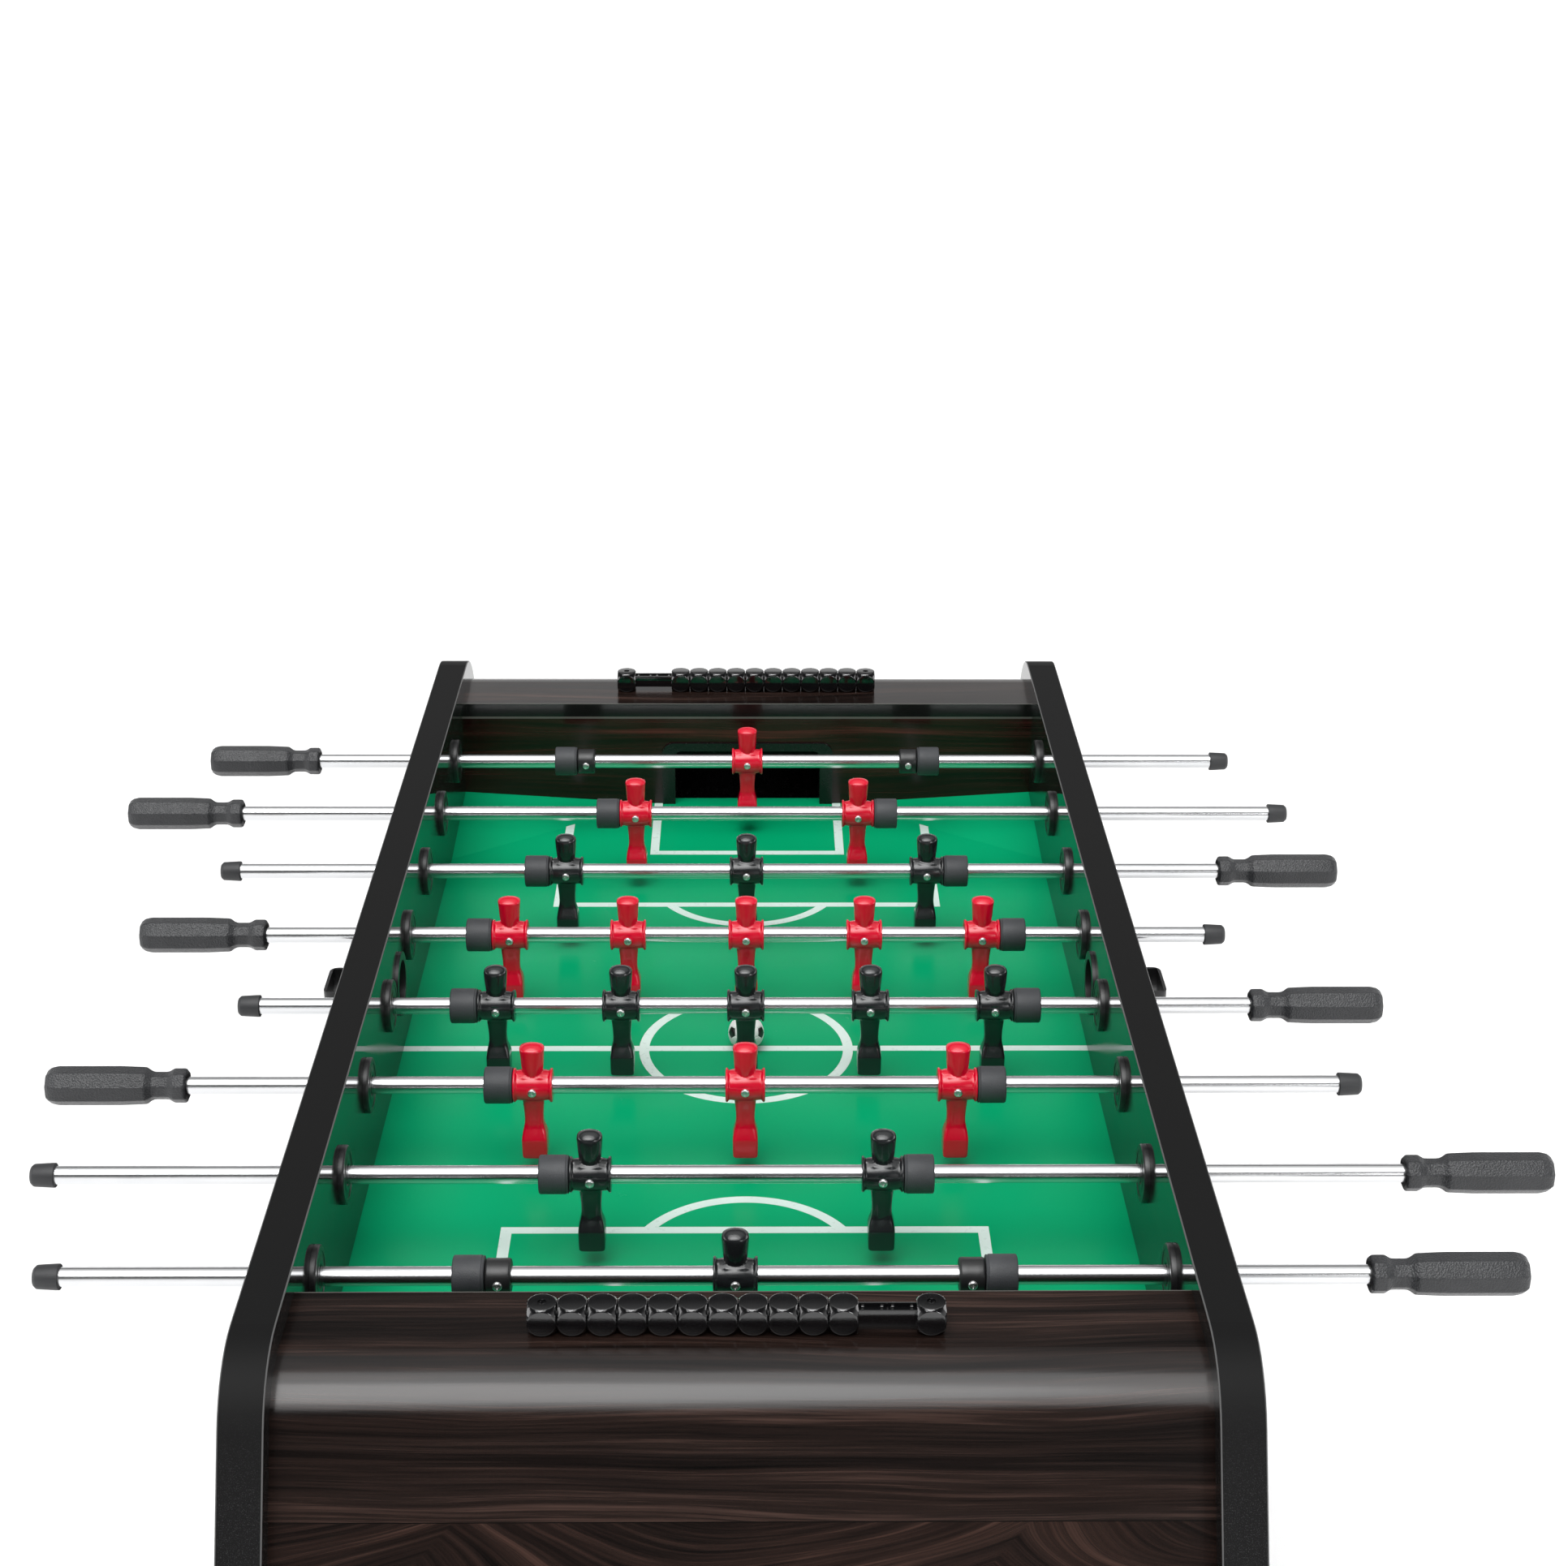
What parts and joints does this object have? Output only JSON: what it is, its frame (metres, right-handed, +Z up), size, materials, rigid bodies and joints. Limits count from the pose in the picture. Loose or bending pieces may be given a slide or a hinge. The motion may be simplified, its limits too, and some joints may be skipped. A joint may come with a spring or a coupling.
{
  "type": "foosball table",
  "caption": "Freestanding foosball table with flared wood-grain ends, black side panels, sliding and spinning chromed player rods, bead scorers, goals, serve cups and a ball.",
  "frame": {"origin": "on the floor under the centre of the table", "axes": "+X across the table along the rods, +Y along the table from the near end to the far end, +Z up"},
  "size_m": [1.386, 1.6148, 0.8903],
  "materials": {
    "side_panel": "matte black laminate with glossy inner face",
    "wood_grain": "glossy dark wood-grain laminate",
    "playfield": "gloss green printed board",
    "ramp": "gloss green",
    "goal": "gloss black moulding",
    "bearing": "satin black moulding",
    "frame_wood": "raw board",
    "steel": "zinc plated",
    "score_black": "gloss black moulding",
    "chrome": "polished chrome",
    "red_man": "gloss red moulding",
    "black_man": "gloss black moulding",
    "rubber": "matte dark grey rubber",
    "grip": "leather-textured dark rubber",
    "collar": "satin black moulding",
    "ball": "white with black pentagons",
    "foot": "black moulded foot on a steel stem"
  },
  "bodies": {
    "cabinet": {"left_side_panel": "side_panel", "right_side_panel": "side_panel", "near_end_board": "wood_grain", "far_end_board": "wood_grain", "end_walls": "wood_grain", "playfield": "playfield", "corner_ramps": "ramp", "goals": "goal", "rod_bearings": "bearing", "serve_cups": "bearing", "under_frame": "frame_wood", "bottom_panel": "frame_wood", "cabinet_fasteners": "steel", "score_rails": "score_black"},
    "near_beads": {"near_beads": "score_black"},
    "far_beads": {"far_beads": "score_black"},
    "ball": {"ball": "ball"},
    "levelers": {"levelers": "foot"},
    "rod_1_bumpers": {"rod_1_bumpers": "rubber"},
    "rod_1": {"rod_1_tube": "chrome", "rod_1_men": "red_man", "rod_1_screws": "steel", "rod_1_grip_and_cap": "grip", "rod_1_collars": "collar"},
    "rod_2_bumpers": {"rod_2_bumpers": "rubber"},
    "rod_2": {"rod_2_tube": "chrome", "rod_2_men": "red_man", "rod_2_screws": "steel", "rod_2_grip_and_cap": "grip"},
    "rod_3_bumpers": {"rod_3_bumpers": "rubber"},
    "rod_3": {"rod_3_tube": "chrome", "rod_3_men": "black_man", "rod_3_screws": "steel", "rod_3_grip_and_cap": "grip"},
    "rod_4_bumpers": {"rod_4_bumpers": "rubber"},
    "rod_4": {"rod_4_tube": "chrome", "rod_4_men": "red_man", "rod_4_screws": "steel", "rod_4_grip_and_cap": "grip"},
    "rod_5_bumpers": {"rod_5_bumpers": "rubber"},
    "rod_5": {"rod_5_tube": "chrome", "rod_5_men": "black_man", "rod_5_screws": "steel", "rod_5_grip_and_cap": "grip"},
    "rod_6_bumpers": {"rod_6_bumpers": "rubber"},
    "rod_6": {"rod_6_tube": "chrome", "rod_6_men": "red_man", "rod_6_screws": "steel", "rod_6_grip_and_cap": "grip"},
    "rod_7_bumpers": {"rod_7_bumpers": "rubber"},
    "rod_7": {"rod_7_tube": "chrome", "rod_7_men": "black_man", "rod_7_screws": "steel", "rod_7_grip_and_cap": "grip"},
    "rod_8_bumpers": {"rod_8_bumpers": "rubber"},
    "rod_8": {"rod_8_tube": "chrome", "rod_8_men": "black_man", "rod_8_screws": "steel", "rod_8_grip_and_cap": "grip", "rod_8_collars": "collar"}
  },
  "joints": [
    {"name": "rod_1_slide", "type": "slide", "parent": "cabinet", "child": "rod_1_bumpers", "axis": [1, 0, 0], "range_m": [-0.1125, 0.1125]},
    {"name": "rod_1_spin", "type": "hinge", "parent": "rod_1_bumpers", "child": "rod_1", "pos_m": [0, 0.525, 0.825], "axis": [1, 0, 0], "continuous": true},
    {"name": "rod_2_slide", "type": "slide", "parent": "cabinet", "child": "rod_2_bumpers", "axis": [1, 0, 0], "range_m": [-0.1697, 0.1697]},
    {"name": "rod_2_spin", "type": "hinge", "parent": "rod_2_bumpers", "child": "rod_2", "pos_m": [0, 0.375, 0.825], "axis": [1, 0, 0], "continuous": true},
    {"name": "rod_3_slide", "type": "slide", "parent": "cabinet", "child": "rod_3_bumpers", "axis": [1, 0, 0], "range_m": [-0.1017, 0.1017]},
    {"name": "rod_3_spin", "type": "hinge", "parent": "rod_3_bumpers", "child": "rod_3", "pos_m": [0, 0.225, 0.825], "axis": [1, 0, 0], "continuous": true},
    {"name": "rod_4_slide", "type": "slide", "parent": "cabinet", "child": "rod_4_bumpers", "axis": [1, 0, 0], "range_m": [-0.0547, 0.0547]},
    {"name": "rod_4_spin", "type": "hinge", "parent": "rod_4_bumpers", "child": "rod_4", "pos_m": [0, 0.075, 0.825], "axis": [1, 0, 0], "continuous": true},
    {"name": "rod_5_slide", "type": "slide", "parent": "cabinet", "child": "rod_5_bumpers", "axis": [1, 0, 0], "range_m": [-0.0547, 0.0547]},
    {"name": "rod_5_spin", "type": "hinge", "parent": "rod_5_bumpers", "child": "rod_5", "pos_m": [0, -0.075, 0.825], "axis": [1, 0, 0], "continuous": true},
    {"name": "rod_6_slide", "type": "slide", "parent": "cabinet", "child": "rod_6_bumpers", "axis": [1, 0, 0], "range_m": [-0.1017, 0.1017]},
    {"name": "rod_6_spin", "type": "hinge", "parent": "rod_6_bumpers", "child": "rod_6", "pos_m": [0, -0.225, 0.825], "axis": [1, 0, 0], "continuous": true},
    {"name": "rod_7_slide", "type": "slide", "parent": "cabinet", "child": "rod_7_bumpers", "axis": [1, 0, 0], "range_m": [-0.1627, 0.1767]},
    {"name": "rod_7_spin", "type": "hinge", "parent": "rod_7_bumpers", "child": "rod_7", "pos_m": [0, -0.375, 0.825], "axis": [1, 0, 0], "continuous": true},
    {"name": "rod_8_slide", "type": "slide", "parent": "cabinet", "child": "rod_8_bumpers", "axis": [1, 0, 0], "range_m": [-0.1055, 0.1195]},
    {"name": "rod_8_spin", "type": "hinge", "parent": "rod_8_bumpers", "child": "rod_8", "pos_m": [0, -0.525, 0.825], "axis": [1, 0, 0], "continuous": true},
    {"name": "near_score", "type": "slide", "parent": "cabinet", "child": "near_beads", "axis": [1, 0, 0], "range_m": [0, 0.0431]},
    {"name": "far_score", "type": "slide", "parent": "cabinet", "child": "far_beads", "axis": [1, 0, 0], "range_m": [-0.0431, 0]},
    {"name": "ball_roll", "type": "slide", "parent": "cabinet", "child": "ball", "axis": [1, 0, 0], "range_m": [-0.325, 0.325]},
    {"name": "leveler_screw", "type": "slide", "parent": "cabinet", "child": "levelers", "axis": [0, 0, -1], "range_m": [0, 0.015]}
  ]
}
